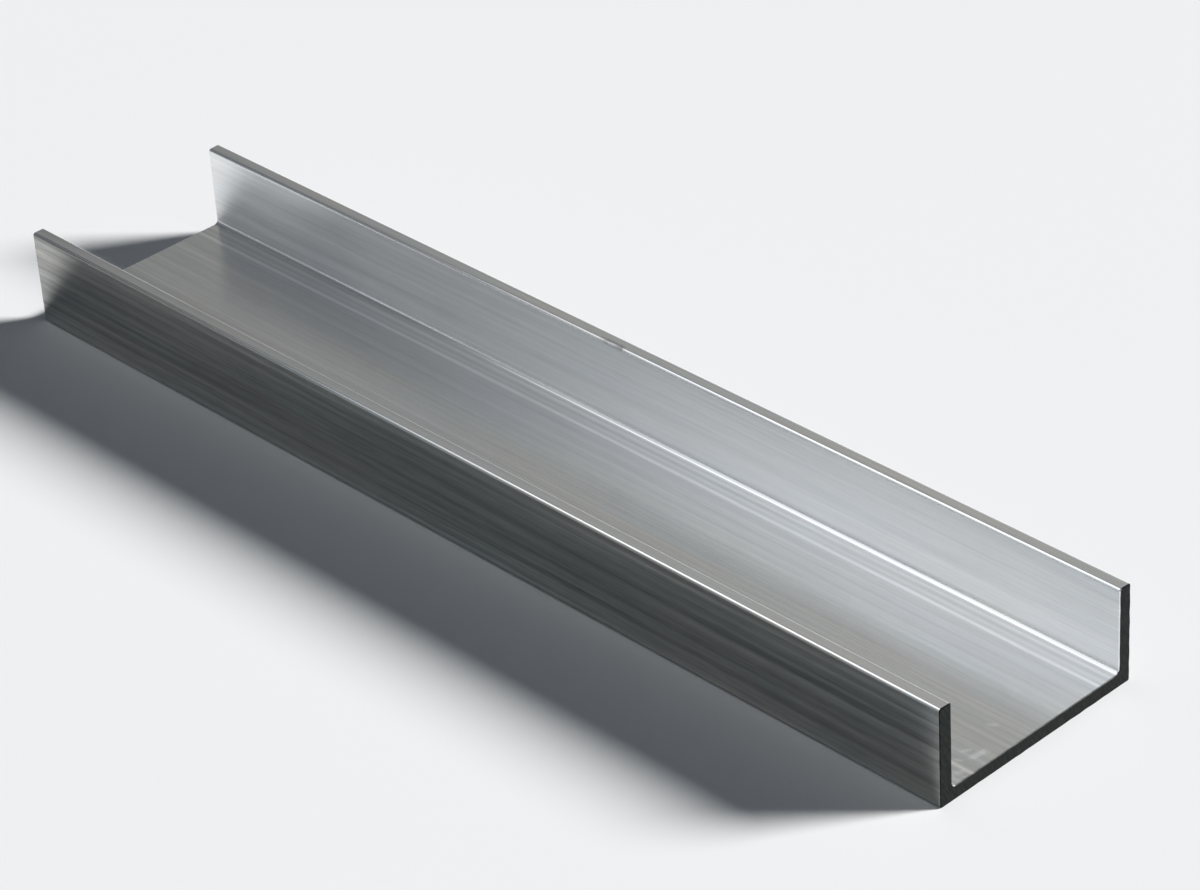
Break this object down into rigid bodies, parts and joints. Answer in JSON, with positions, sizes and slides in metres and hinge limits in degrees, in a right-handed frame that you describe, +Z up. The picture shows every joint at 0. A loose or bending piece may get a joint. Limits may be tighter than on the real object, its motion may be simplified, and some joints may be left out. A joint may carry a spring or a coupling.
{
  "type": "aluminium u-channel",
  "caption": "Straight aluminium U-channel with a flat web and two equal upright legs, sawn square at both ends, for edging, framing, guides and cable runs.",
  "frame": {"origin": "centre of the underside of the web, half way along the bar", "axes": "+X along the bar, towards the sawn end that the picture shows; +Y across the bar, from the front leg to the back leg; +Z up, from the web to the leg tips"},
  "size_m": [0.25, 0.05, 0.021],
  "materials": {
    "mill_aluminium": "mill finish as extruded, with faint lengthwise die lines; ends as sawn"
  },
  "bodies": {
    "root": {"channel_bar": "mill_aluminium"}
  },
  "joints": []
}
